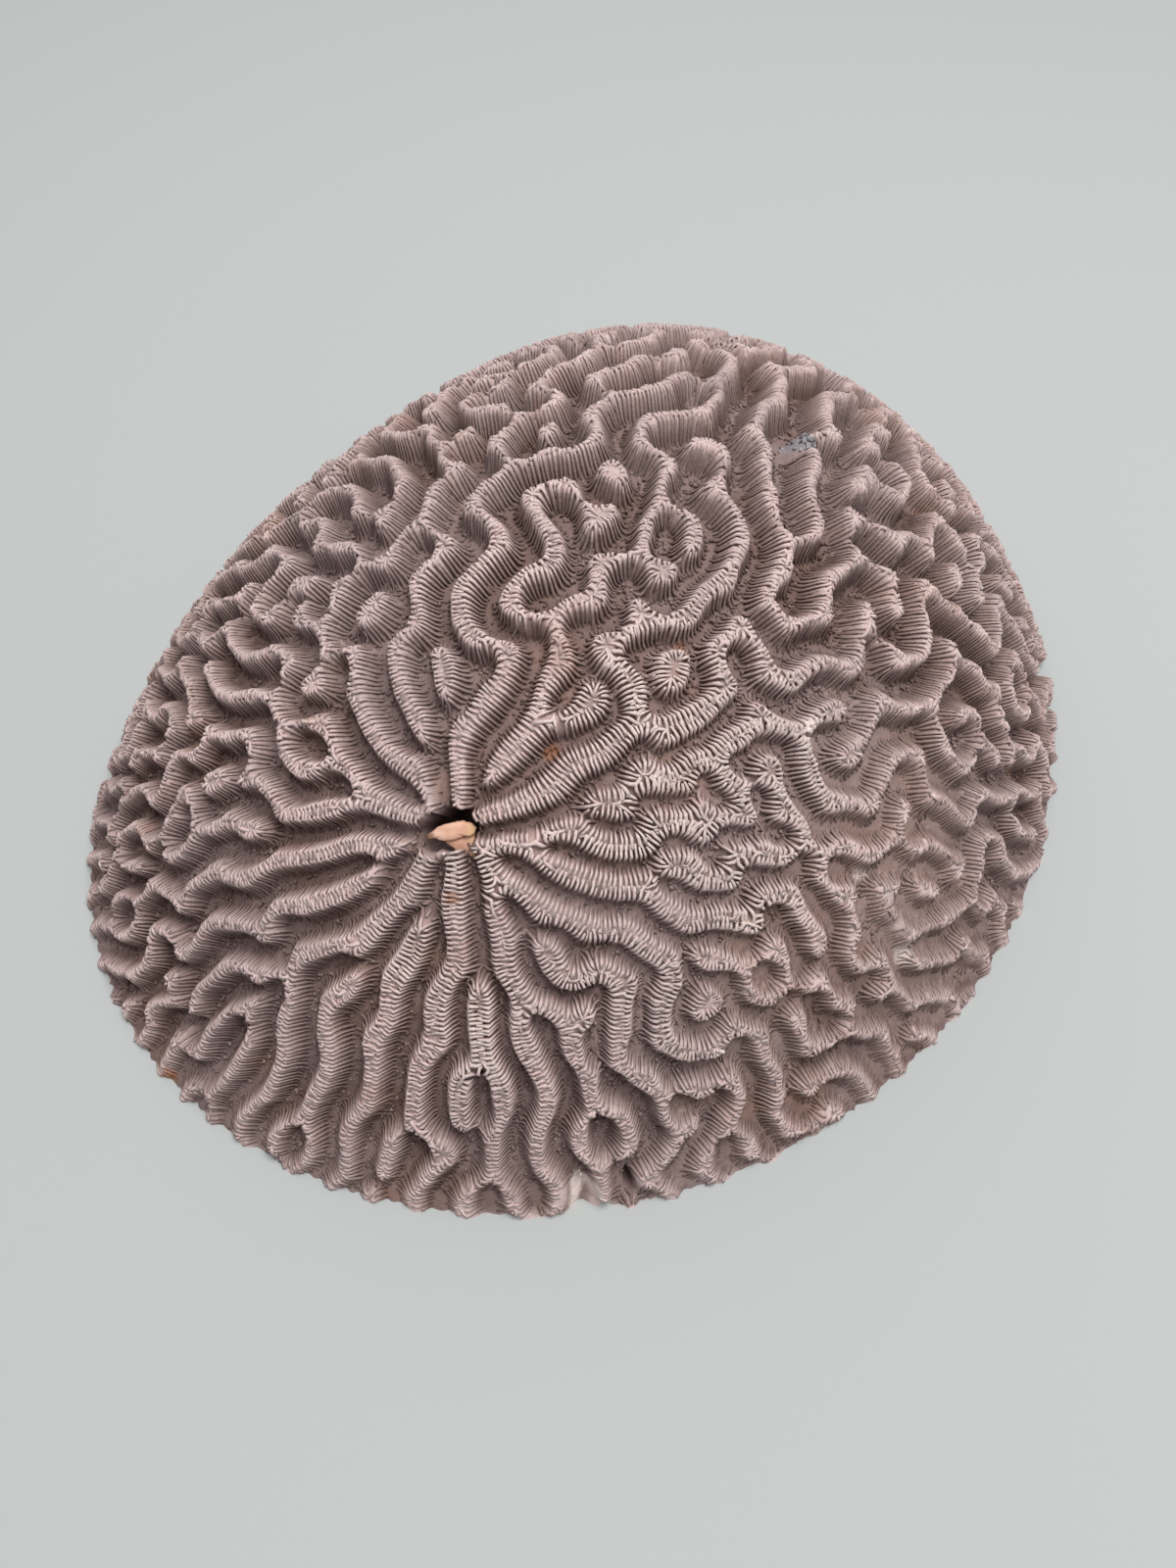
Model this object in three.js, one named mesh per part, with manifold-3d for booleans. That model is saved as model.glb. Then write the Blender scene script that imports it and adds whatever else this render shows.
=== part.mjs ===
// Brain coral: one massive dome of coral skeleton, cut off flat underneath, with a flake of old shell
// lodged in a small pit on its front slope.
// Millimetres, +Z up. The origin is the middle of the cut face's bounding box, so the coral stands on z = 0.
import * as THREE from 'three';
import Module from 'manifold-3d';

// The dome. Its slope grows from level at the top to RIM_SLOPE where it meets the cut face.
const HEIGHT = 83.9;
const RIM_SLOPE = 60 * Math.PI / 180;
const RISE = 1.5;
const MEAN_RADIUS = 115.0;
// Plan outline: [cosine, sine] share of the mean radius for one, two and three waves round the rim.
const OUTLINE_WAVES = [[-0.006, 0.008], [-0.023, 0.098], [-0.015, -0.011]];
const PROFILE_STEPS = 200;
const DOME_CELLS = 56;

// The pit: its mouth's corners in the slope's plane (across, up the slope), round the flake's seat.
const PIT_AZIMUTH = -108.4 * Math.PI / 180;
const PIT_REACH = 75.2;
const MOUTH = [
  [-4.6, -0.2], [-3.5, 2.2], [-1.8, 3.0], [0.0, 3.8], [1.8, 3.9], [3.4, 3.3], [4.3, 2.2], [5.2, 0.9],
  [4.9, -1.0], [4.7, -2.4], [5.2, -4.4], [3.1, -4.2], [1.3, -3.6], [-1.0, -3.0], [-2.8, -2.0], [-4.7, -1.8],
];
const SEAT_DEPTH = 5.0;
const WELL = [[-3.2, 1.3], [-1.8, 2.5], [0.0, 3.3], [1.8, 3.4], [3.3, 2.8], [3.6, 2.0], [1.9, 2.2], [-0.4, 1.7]];
const WELL_DEPTH = 11.0;

// The flake of shell, its corners in the same plane.
const FLAKE = [
  [-4.1, -0.6], [-2.9, 0.2], [-2.3, 0.8], [-0.3, 1.4], [2.0, 1.8], [3.6, 1.4], [4.4, 0.7], [4.1, -0.6],
  [3.9, -2.4], [4.4, -3.8], [3.1, -3.4], [1.6, -2.8], [-0.6, -2.3], [-2.5, -1.4], [-4.0, -1.3],
];
const FLAKE_TOP = 2.6;
const FLAKE_THICKNESS = 2.0;

const wasm = await Module();
wasm.setup();

// Radius and drop of the profile at equal steps along its arc, both scaled to end at 1.
function domeProfile() {
  const radius = [0];
  const drop = [0];
  for (let i = 1; i <= PROFILE_STEPS; i++) {
    const share = (i - 0.5) / PROFILE_STEPS;
    const slope = RIM_SLOPE * (1 - Math.pow(1 - share, RISE));
    radius.push(radius[i - 1] + Math.cos(slope));
    drop.push(drop[i - 1] + Math.sin(slope));
  }
  const lastRadius = radius[PROFILE_STEPS];
  const lastDrop = drop[PROFILE_STEPS];
  return { radius: radius.map((r) => r / lastRadius), drop: drop.map((d) => d / lastDrop) };
}

const PROFILE = domeProfile();

function lookUp(table, share) {
  const at = Math.min(Math.max(share, 0), 1) * PROFILE_STEPS;
  const i = Math.min(Math.floor(at), PROFILE_STEPS - 1);
  return table[i] + (table[i + 1] - table[i]) * (at - i);
}

function rimRadius(azimuth) {
  let share = 1;
  OUTLINE_WAVES.forEach(([c, s], i) => {
    share += c * Math.cos((i + 1) * azimuth) + s * Math.sin((i + 1) * azimuth);
  });
  return MEAN_RADIUS * share;
}

// The middle of the plan outline's bounding box, which becomes the origin.
function outlineMiddle() {
  const box = new THREE.Box2();
  for (let i = 0; i < 1440; i++) {
    const azimuth = i * Math.PI / 720;
    const r = rimRadius(azimuth);
    box.expandByPoint(new THREE.Vector2(r * Math.cos(azimuth), r * Math.sin(azimuth)));
  }
  return box.getCenter(new THREE.Vector2());
}

const MIDDLE = outlineMiddle();

// A point of the dome's skin: share runs from 0 at the top to 1 at the rim, along the arc.
function skinPoint(share, azimuth) {
  const r = rimRadius(azimuth) * lookUp(PROFILE.radius, share);
  const z = HEIGHT * (1 - lookUp(PROFILE.drop, share));
  return new THREE.Vector3(r * Math.cos(azimuth) - MIDDLE.x, r * Math.sin(azimuth) - MIDDLE.y, z);
}

// A square grid pulled onto a disc, so that its cells stay nearly even: returns [share, azimuth].
function discFromSquare(a, b) {
  if (a === 0 && b === 0) return [0, 0];
  if (Math.abs(a) > Math.abs(b)) return [Math.abs(a), (a < 0 ? Math.PI : 0) + Math.PI / 4 * b / a];
  return [Math.abs(b), (b < 0 ? 1.5 : 0.5) * Math.PI - Math.PI / 4 * a / b];
}

function solidFrom(positions, triangles) {
  const mesh = new wasm.Mesh({
    numProp: 3,
    vertProperties: new Float32Array(positions),
    triVerts: new Uint32Array(triangles),
  });
  mesh.merge();
  return new wasm.Manifold(mesh);
}

// The whole dome, closed by the flat cut face.
function domeSolid() {
  const positions = [];
  const triangles = [];
  const row = DOME_CELLS + 1;
  for (let j = 0; j < row; j++) {
    for (let i = 0; i < row; i++) {
      const [share, azimuth] = discFromSquare(2 * i / DOME_CELLS - 1, 2 * j / DOME_CELLS - 1);
      positions.push(...skinPoint(share, azimuth).toArray());
    }
  }
  for (let j = 0; j < DOME_CELLS; j++) {
    for (let i = 0; i < DOME_CELLS; i++) {
      const a = j * row + i;
      triangles.push(a, a + 1, a + row + 1, a, a + row + 1, a + row);
    }
  }
  const rim = [];
  for (let i = 0; i < DOME_CELLS; i++) rim.push(i);
  for (let j = 0; j < DOME_CELLS; j++) rim.push(j * row + DOME_CELLS);
  for (let i = DOME_CELLS; i > 0; i--) rim.push(DOME_CELLS * row + i);
  for (let j = DOME_CELLS; j > 0; j--) rim.push(j * row);
  const middle = positions.length / 3;
  positions.push(0, 0, 0);
  rim.forEach((a, i) => triangles.push(middle, rim[(i + 1) % rim.length], a));
  return solidFrom(positions, triangles);
}

// The slope's own axes at the pit: across, up the slope, and out of the skin.
function pitFrame() {
  const share = shareAtReach(PIT_REACH, PIT_AZIMUTH);
  const at = skinPoint(share, PIT_AZIMUTH);
  const outward = skinPoint(share + 0.01, PIT_AZIMUTH).sub(skinPoint(share - 0.01, PIT_AZIMUTH));
  const along = skinPoint(share, PIT_AZIMUTH + 0.01).sub(skinPoint(share, PIT_AZIMUTH - 0.01));
  const out = outward.cross(along).normalize();
  const across = new THREE.Vector3(1, 0, 0).projectOnPlane(out).normalize();
  const up = out.clone().cross(across);
  return new THREE.Matrix4().makeBasis(across, up, out).setPosition(at);
}

// The share of the arc at which the skin stands a given distance from the origin in plan.
function shareAtReach(reach, azimuth) {
  let share = 0;
  while (share < 1) {
    const p = skinPoint(share, azimuth);
    if (Math.hypot(p.x, p.y) >= reach) break;
    share += 0.002;
  }
  return share;
}

// A prism between two heights of the pit's frame. inset pulls the lower outline towards its middle.
function prism(corners, low, high, inset, frame) {
  const outline = corners.map(([x, y]) => new THREE.Vector2(x, y));
  if (THREE.ShapeUtils.isClockWise(outline)) outline.reverse();
  const count = outline.length;
  const middle = outline.reduce((sum, p) => sum.add(p), new THREE.Vector2()).divideScalar(count);
  const positions = [];
  const triangles = [];
  [[low, inset], [high, 1]].forEach(([height, scale]) => {
    outline.forEach((corner) => {
      const flat = middle.clone().lerp(corner, scale);
      positions.push(...new THREE.Vector3(flat.x, flat.y, height).applyMatrix4(frame).toArray());
    });
  });
  THREE.ShapeUtils.triangulateShape(outline, []).forEach(([a, b, c]) => {
    triangles.push(a, c, b, count + a, count + b, count + c);
  });
  for (let i = 0; i < count; i++) {
    const j = (i + 1) % count;
    triangles.push(i, j, count + i, j, count + j, count + i);
  }
  return solidFrom(positions, triangles);
}

function colonySolid(frame) {
  const seat = prism(MOUTH, -SEAT_DEPTH, 3, 0.97, frame);
  const well = prism(WELL, -WELL_DEPTH, 3, 0.7, frame);
  return domeSolid().subtract(seat).subtract(well);
}

function flakeSolid(frame) {
  const top = -FLAKE_TOP;
  return prism(FLAKE, top - FLAKE_THICKNESS, top, 0.94, frame);
}

function toMesh(name, solid, material) {
  const mesh = solid.getMesh();
  const geometry = new THREE.BufferGeometry();
  geometry.setAttribute('position', new THREE.BufferAttribute(new Float32Array(mesh.vertProperties), 3));
  geometry.setIndex(new THREE.BufferAttribute(new Uint32Array(mesh.triVerts), 1));
  geometry.computeVertexNormals();
  const part = new THREE.Mesh(geometry, material);
  part.name = name;
  return part;
}

const coralSkeleton = new THREE.MeshStandardMaterial({ color: 0x8f7f7b, roughness: 0.9, metalness: 0 });
const oldShell = new THREE.MeshStandardMaterial({ color: 0xc99b7a, roughness: 0.5, metalness: 0 });

const frame = pitFrame();
const part = new THREE.Group();
part.name = 'brain_coral';
part.add(toMesh('coral_colony', colonySolid(frame), coralSkeleton));
part.add(toMesh('shell_flake', flakeSolid(frame), oldShell));

export default part;
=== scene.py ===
"""The looks of a brain coral: winding ridges crossed by thin septa, and a flake of shell in a pit.

Lengths are in millimetres until a mesh is made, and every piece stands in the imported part's own frame.
The ridges are grown on a flat map of the dome's skin: a point of the map is as far from the middle, in
millimetres, as the skin's arc from the top, and in the same direction.
"""

import math

import bpy
import numpy as np
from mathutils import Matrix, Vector


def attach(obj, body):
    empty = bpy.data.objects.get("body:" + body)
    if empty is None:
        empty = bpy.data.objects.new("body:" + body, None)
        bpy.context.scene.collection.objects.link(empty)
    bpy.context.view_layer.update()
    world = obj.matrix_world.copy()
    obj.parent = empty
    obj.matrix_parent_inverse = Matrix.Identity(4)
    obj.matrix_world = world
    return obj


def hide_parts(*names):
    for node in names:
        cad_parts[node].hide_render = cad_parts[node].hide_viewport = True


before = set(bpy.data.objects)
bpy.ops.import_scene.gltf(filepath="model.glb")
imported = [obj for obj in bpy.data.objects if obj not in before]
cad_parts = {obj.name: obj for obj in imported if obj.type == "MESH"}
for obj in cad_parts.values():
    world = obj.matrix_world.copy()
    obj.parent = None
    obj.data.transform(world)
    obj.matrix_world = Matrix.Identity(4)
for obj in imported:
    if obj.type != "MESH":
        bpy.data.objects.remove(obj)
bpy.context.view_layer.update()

MM = 0.001

# The dome, as in the part's own source.
HEIGHT = 83.9
RIM_SLOPE = math.radians(60)
RISE = 1.5
MEAN_RADIUS = 115.0
OUTLINE_WAVES = ((-0.006, 0.008), (-0.023, 0.098), (-0.015, -0.011))
PROFILE_STEPS = 200

# The map of the skin, and the two grids on it.
REACH = 150.0
MAP_HALF = 165.0
COARSE = 1.0
FINER = 3

# The growth. The ridges settle a little further apart than WAVE_LENGTH. Two blurs pick out waves that are
# WAVE_TO_BLUR times as long as the narrower blur is wide. The inverse metric stays below METRIC_PEAK.
WAVE_LENGTH = 7.5
WAVE_TO_BLUR = 6.54
METRIC_PEAK = 2.8
GROWTH_ROUNDS = 46
SHOVE_ROUNDS = (18, 22, 26)
SHOVE, SHOVE_SIZE = 2.2, 11
SEED = 5

# Ridges and septa. SEPTUM_WIDTH is a share of the room between neighbours.
RIDGE_HEIGHT = 4.5
SEPTA_PITCH = 0.85
SEPTUM_WIDTH = 0.56
THINNEST, THICKEST = 0.3, 0.66
SEPTUM_STATIONS = (0, 0.2, 0.42, 0.6, 0.74, 1)
SEPTA_PIECES = 4

# A septum's path is traced in short steps between these levels of the ridge, and a little over the crest.
TRACE_STEP = 0.3
TRACE_STEPS = 28
PATH_STATIONS = 17
PATH_TOP, PATH_FOOT = 0.985, -0.68
OVER_CREST = 0.35

# Gaps between neighbours. Below CROWDED every other septum stops short and leaves LONE_ROOM. Above WIDE a
# short one stands in between for as long as the gap is ROOMY. Beyond APART the two aren't neighbours.
CROWDED, LONE_ROOM = 0.52, 0.9
WIDE, ROOMY, APART = 1.5, 1.15, 4

# Soft patches of the map, each with its middle and its size.
WIDE_BACK, WIDE_RIGHT = (10, 75, 70), (85, 10, 45)
CLOSE_BY_PIT, CLOSE_LEFT = (5, -80, 24), (-95, -60, 40)
WORN_RIGHT, WORN_FRONT = (70, -85, 30), (35, -110, 22)
COMBED_RIGHT, COMBED_FRONT = (20, -66, 26), (-8, -98, 26)
PIT_SLOPE, LOW_BY_PIT = (-14, -80, 40), (8, -82, 24)

# Places on the map: the pit, and the other damage and marks.
PIT = (-27.3, -71.2)
SLOT = (5.0, -144.4)
BORE = (71.0, -91.0)
BREAK = (-5.1, -147.0)
CRYSTALS = (39.3, 9.8)
WHITE_SPOTS = ((41.3, -59.0, 2.6), (76.7, -98.1, 3.0), (58.0, -84.0, 1.8), (24.0, -118.0, 1.8))
RUSTY_SPOTS = ((-10.7, -60.6, 1.5), (13.6, -44.5, 1.1), (-103.2, -106.8, 2.2), (-28.5, -82.5, 1.2))
PIT_DEPTH, BORE_DEPTH, CHIP_DEPTH, CRYSTAL_DEPTH = 9.0, 3.5, 1.5, 0.5

# The body's mesh, and where its dome and cut face lie on the texture map.
BODY_CELLS = 276
BASE_RINGS = (0.97, 0.88, 0.7, 0.45, 0.2)
FACE_VALUES = {"relief": 0.5, "tone": 0.5, "cut": 1}
DOME_MAP_WIDTH = 0.66
FACE_MAP_WIDTH, FACE_MAP_MIDDLE = 0.62, (0.83, 0.25)

CRUMB_TRIES = 120000
SMALL_CRUMB, LARGE_CRUMB = 0.22, 0.66

# The flake's two leaves, across and up the slope from its middle, which is a little left of the pit's.
FLAKE_LEFT = 0.9
FLAKE_EDGE_POINTS = 56
FLAKE_RINGS = 12
UPPER_LEAF = (
    (-4.1, -0.6), (-2.9, 0.2), (-2.35, 0.8), (-0.3, 1.4), (2.06, 1.84), (3.8, 1.4), (4.5, 0.7), (4.1, -0.3),
    (3.3, -0.75), (2.2, -0.8), (1.2, -1.2), (0.3, -1.5), (-1.2, -1.7), (-2.6, -1.3), (-4.1, -1.3),
)
LOWER_LEAF = (
    (-1.9, -0.8), (0.4, 0.4), (2.5, 0.6), (4.0, 0.2), (3.9, -1.3), (4.1, -2.8), (4.6, -4.6), (3.4, -4.3),
    (2.0, -3.6), (0.6, -3.1), (-0.9, -2.1),
)
# Each leaf's outline, how far it is crowned and its right side lifted, and its height in the pit.
LEAVES = ((LOWER_LEAF, 0.35, 0.0, -3.2), (UPPER_LEAF, 0.5, 0.05, -2.4))

# The lights and the floor are in metres.
FLOOR_SIZE = 4
KEY_LIGHT = {"place": (0.27, -0.05, 1.3), "target": (0, -0.02, 0.03), "size": 0.9, "power": 20}
FILL_LIGHT = {"place": (-0.4, 0.9, 0.9), "target": (0, 0, 0.03), "size": 1.0, "power": 2.5}
SKY_COLOUR = (0.9, 0.95, 1.0, 1)
SKY_STRENGTH = 0.43

CAMERA_ELEVATION = math.radians(55)
CAMERA_TARGET = (-1.4, -42.6, 30.0)
CAMERA_DISTANCE = 227.0
CAMERA_LENS = 26.0


# ---- the dome's skin


def dome_profile():
    """Radius and drop at equal steps along the arc, both ending at 1."""
    share = (np.arange(PROFILE_STEPS) + 0.5) / PROFILE_STEPS
    slope = RIM_SLOPE * (1 - (1 - share) ** RISE)
    radius = np.concatenate([[0], np.cumsum(np.cos(slope))])
    drop = np.concatenate([[0], np.cumsum(np.sin(slope))])
    return radius / radius[-1], drop / drop[-1]


PROFILE_RADIUS, PROFILE_DROP = dome_profile()
PROFILE_SHARE = np.linspace(0, 1, PROFILE_STEPS + 1)


def rim_radius(azimuth):
    share = np.ones_like(azimuth)
    for k, (c, s) in enumerate(OUTLINE_WAVES, 1):
        share = share + c * np.cos(k * azimuth) + s * np.sin(k * azimuth)
    return MEAN_RADIUS * share


def outline_middle():
    azimuth = np.arange(1440) * math.pi / 720
    r = rim_radius(azimuth)
    x, y = r * np.cos(azimuth), r * np.sin(azimuth)
    return (x.min() + x.max()) / 2, (y.min() + y.max()) / 2


MIDDLE = outline_middle()


def skin(mx, my):
    """The skin's point for each map point. Past the rim the skin goes on straight."""
    share = np.hypot(mx, my) / REACH
    azimuth = np.arctan2(my, mx)
    past = np.maximum(share - 1, 0) * PROFILE_STEPS
    rho = np.interp(share, PROFILE_SHARE, PROFILE_RADIUS)
    drop = np.interp(share, PROFILE_SHARE, PROFILE_DROP)
    rho = rho + past * (PROFILE_RADIUS[-1] - PROFILE_RADIUS[-2])
    drop = drop + past * (PROFILE_DROP[-1] - PROFILE_DROP[-2])
    r = rim_radius(azimuth) * rho
    x = r * np.cos(azimuth) - MIDDLE[0]
    y = r * np.sin(azimuth) - MIDDLE[1]
    return np.stack([x, y, HEIGHT * (1 - drop)], -1)


def unit(v):
    return v / np.maximum(np.linalg.norm(v, axis=-1, keepdims=True), 1e-12)


def skin_normal(mx, my):
    e = 0.8
    along_x = skin(mx + e, my) - skin(mx - e, my)
    along_y = skin(mx, my + e) - skin(mx, my - e)
    return unit(np.cross(along_x, along_y))


# ---- small helpers on grids


def smoothstep(low, high, x):
    t = np.clip((x - low) / (high - low), 0, 1)
    return t * t * (3 - 2 * t)


def spot(x, y, at_x, at_y, size):
    """A soft round spot: 1 at its middle."""
    return np.exp(-((x - at_x) ** 2 + (y - at_y) ** 2) / (2 * size * size))


def hash_noise(i, j, seed):
    """A number from -1 to 1 for each whole i, j."""
    v = np.sin(i * 127.1 + j * 311.7 + seed * 74.7) * 43758.5453
    return 2 * (v - np.floor(v)) - 1


def value_noise(x, y, size, seed):
    """Smooth noise from -1 to 1 whose lumps are about size apart."""
    x, y = x / size, y / size
    i, j = np.floor(x), np.floor(y)
    fx, fy = x - i, y - j
    fx, fy = fx * fx * (3 - 2 * fx), fy * fy * (3 - 2 * fy)
    low = hash_noise(i, j, seed) * (1 - fx) + hash_noise(i + 1, j, seed) * fx
    high = hash_noise(i, j + 1, seed) * (1 - fx) + hash_noise(i + 1, j + 1, seed) * fx
    return low * (1 - fy) + high * fy


class SkinGrid:
    """A square grid on the map, with the skin's metric, so that blurs are even on the real surface."""

    def __init__(self, step, half):
        self.step = step
        self.count = int(round(half / step))
        line = np.arange(-self.count, self.count + 1) * step
        self.x, self.y = np.meshgrid(line, line)
        p = skin(self.x, self.y)
        px, py = np.gradient(p, step, axis=1), np.gradient(p, step, axis=0)
        self.e, self.f, self.g = (px * px).sum(-1), (px * py).sum(-1), (py * py).sum(-1)
        area = self.e * self.g - self.f * self.f
        self.root = np.sqrt(area)
        self.xx, self.xy, self.yy = self.g / area, -self.f / area, self.e / area

    def flow(self, xx, xy, yy):
        """The weights of one diffusion step with this tensor."""
        ax, ay = self.root * xx, self.root * yy
        return (ax[:, 1:] + ax[:, :-1]) / 2, (ay[1:] + ay[:-1]) / 2, self.root * xy

    def diffuse(self, u, flow, amount, peak):
        """u blurred by that amount of diffusion. peak bounds the tensor, and sets how many steps it takes."""
        steps = max(1, math.ceil(amount * peak / (0.2 * self.step**2)))
        rate = amount / steps / self.step**2
        across, up, mixed = flow
        for _ in range(steps):
            gain = np.zeros_like(u)
            fx, fy = across * (u[:, 1:] - u[:, :-1]), up * (u[1:] - u[:-1])
            gain[:, :-1] += fx
            gain[:, 1:] -= fx
            gain[:-1] += fy
            gain[1:] -= fy
            ux, uy = np.zeros_like(u), np.zeros_like(u)
            ux[:, 1:-1] = (u[:, 2:] - u[:, :-2]) / 2
            uy[1:-1] = (u[2:] - u[:-2]) / 2
            cx, cy = mixed * uy, mixed * ux
            gain[:, 1:-1] += (cx[:, 2:] - cx[:, :-2]) / 2
            gain[1:-1] += (cy[2:] - cy[:-2]) / 2
            u = u + rate * gain / self.root
        return u

    def near(self, x, y, size):
        return spot(self.x, self.y, x, y, size)


def refined(u, times):
    """u on a grid that many times finer, along smooth curves through its values."""
    for axis in (0, 1):
        u = np.moveaxis(u, axis, 0)
        n = len(u)
        at = np.arange((n - 1) * times + 1) / times
        i = np.minimum(np.floor(at).astype(int), n - 2)
        f = (at - i).reshape(-1, *[1] * (u.ndim - 1))
        a, b = u[np.maximum(i - 1, 0)], u[i]
        c, d = u[i + 1], u[np.minimum(i + 2, n - 1)]
        u = b + 0.5 * f * (c - a + f * (2 * a - 5 * b + 4 * c - d + f * (3 * (b - c) + d - a)))
        u = np.moveaxis(u, 0, axis)
    return u


def sample(u, x, y, step):
    """Values of the grid u, or of a stack of grids, at map points."""
    n = u.shape[0]
    gx = np.clip(x / step + (n - 1) / 2, 0, n - 1.001)
    gy = np.clip(y / step + (n - 1) / 2, 0, n - 1.001)
    i, j = gx.astype(int), gy.astype(int)
    fx, fy = gx - i, gy - j
    if u.ndim == 3:
        fx, fy = fx[..., None], fy[..., None]
    low = u[j, i] * (1 - fx) + u[j, i + 1] * fx
    high = u[j + 1, i] * (1 - fx) + u[j + 1, i + 1] * fx
    return low * (1 - fy) + high * fy


# ---- how the ridges wind


def spacing_map(g):
    """Wave length over the map: longer at the back and right, shorter in front and close beside the pit."""
    size = 1 + 0.22 * g.near(*WIDE_BACK) + 0.18 * g.near(*WIDE_RIGHT)
    size = size - 0.17 * g.near(*CLOSE_BY_PIT) - 0.1 * g.near(*CLOSE_LEFT) - 0.13 * g.near(*PIT, 7)
    return WAVE_LENGTH * np.clip(size, 0.72, 1.5)


def away_from_pit(g):
    """The direction away from the pit, of unit length on the skin, and how strongly young and old ridges
    follow it."""
    dx, dy = g.x - PIT[0], g.y - PIT[1]
    length = np.sqrt(g.e * dx * dx + 2 * g.f * dx * dy + g.g * dy * dy) + 1e-6
    front = np.clip((-g.y - 55) / 40, 0, 1) * np.clip((40 - g.x) / 60, 0.25, 1)
    left = np.clip((-g.x - 55) / 40, 0, 1)
    close = g.near(*PIT, 16)
    pull = np.maximum.reduce([front * 0.5, left * 0.2, close, np.full(g.x.shape, 0.12)])
    return dx / length, dy / length, pull, np.maximum(close, front * 0.2)


def grow_ridges(g):
    """Grows the ridges as the colony does: first far apart and running away from the pit, then closer and
    closer, so that they buckle, wind and branch. Returns a smooth wave, high on the ridges and low in the
    valleys, and the wave length over the map."""
    size = spacing_map(g)
    ux, uy, young, old = away_from_pit(g)
    i = np.arange(-g.count, g.count + 1, dtype=float)
    u = hash_noise(i[None, :], i[:, None], SEED)
    blur = WAVE_LENGTH / WAVE_TO_BLUR
    fine, wide = blur**2 / 2, 2 * blur**2
    for k in range(GROWTH_ROUNDS):
        age = k / (GROWTH_ROUNDS - 1)
        scale = 1.6 - 0.6 * smoothstep(0.3, 0.55, age)
        stretch = (size * scale / WAVE_LENGTH) ** 2
        peak = float(stretch.max()) * METRIC_PEAK
        even = g.flow(stretch * g.xx, stretch * g.xy, stretch * g.yy)
        near = g.diffuse(u, even, fine, peak)
        wave = near - g.diffuse(near, even, wide - fine, peak)
        follow = stretch * (4 * young if age < 0.35 else 2 * old)
        lined = g.flow(follow * ux * ux, follow * ux * uy, follow * uy * uy)
        wave = g.diffuse(wave, lined, fine, peak * 1.4)
        u = np.tanh(wave * 4.0)
        if k in SHOVE_ROUNDS:
            # A small shove here and there sets straight ridges winding.
            shove_x = SHOVE * value_noise(g.x, g.y, SHOVE_SIZE, 40 + k)
            shove_y = SHOVE * value_noise(g.x, g.y, SHOVE_SIZE, 80 + k)
            u = sample(u, g.x + shove_x, g.y + shove_y, g.step)
    strength = np.sqrt(2 * g.diffuse(wave * wave, even, wide * 2, peak))
    return wave / np.maximum(strength, 1e-6), size


def worn(x, y):
    """Where the front right slope has been rubbed down."""
    return np.maximum(spot(x, y, *WORN_RIGHT), 0.7 * spot(x, y, *WORN_FRONT))


def combed(x, y):
    """Where the septa stand apart like the teeth of a comb."""
    beside_pit = np.maximum(spot(x, y, *COMBED_RIGHT), 0.8 * spot(x, y, *COMBED_FRONT))
    return np.clip(1.05 * beside_pit + 0.5 * value_noise(x, y, 13, 8), 0, 1)


def at_rim(x, y):
    """1 at the rim, 0 well above it; the ridges keep their height longer at the back."""
    return smoothstep(0.88 + 0.09 * smoothstep(-70, 10, y), 1.01, np.hypot(x, y) / REACH)


def filled(x, y):
    """Where dust and wear have filled the gaps between the septa."""
    return np.clip(0.85 * worn(x, y) + 0.6 * at_rim(x, y), 0, 1)


def near_pit(x, y):
    """1 on the slope round the pit, where the ridges are broad and the valleys dusty."""
    return np.clip(1.35 * spot(x, y, *PIT_SLOPE), 0, 1)


def narrow(x, y):
    """Above 0 where the ridges are narrow on top with long sides, below 0 where they are extra broad."""
    return 0.85 * (1 - near_pit(x, y)) - 0.85 * near_pit(x, y) * combed(x, y)


class Ridges:
    """Everything known about the ridges, on the finer grid of the map."""

    def __init__(self):
        g = SkinGrid(COARSE, MAP_HALF)
        wave, size = grow_ridges(g)
        self.step = COARSE / FINER
        self.wave = refined(wave, FINER)
        # 1 on a crest, 0 half-way down, -1 along a valley, and even in between.
        self.level = np.arcsin(np.clip(self.wave * 0.97, -1, 1)) * 2 / math.pi
        self.size = refined(size, FINER)
        line = (np.arange(self.wave.shape[0]) - (self.wave.shape[0] - 1) / 2) * self.step
        self.x, self.y = np.meshgrid(line, line)
        tilt = np.stack(np.gradient(self.wave, self.step)[::-1], -1)
        metric = refined(np.stack([g.e, g.f, g.g, g.xx, g.xy, g.yy], -1), FINER)
        rise_x = metric[..., 3] * tilt[..., 0] + metric[..., 4] * tilt[..., 1]
        rise_y = metric[..., 4] * tilt[..., 0] + metric[..., 5] * tilt[..., 1]
        self.uphill = np.stack([rise_x, rise_y], -1)
        self.lengths = metric[..., :3]
        self.height = self.relief()

    def relief(self):
        """How high the ridges stand above the valleys."""
        lumps = value_noise(self.x, self.y, 31, 5) * 0.6 + value_noise(self.x, self.y, 13, 6) * 0.4
        height = RIDGE_HEIGHT * (self.size / WAVE_LENGTH) ** 1.5 * (1 + 0.12 * lumps)
        beside_pit = spot(self.x, self.y, *LOW_BY_PIT)
        lowered = (1 - 0.2 * beside_pit) * (1 - 0.5 * worn(self.x, self.y))
        return height * lowered * (1 - 0.76 * at_rim(self.x, self.y))

    def at(self, name, x, y):
        return sample(getattr(self, name), x, y, self.step)


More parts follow.
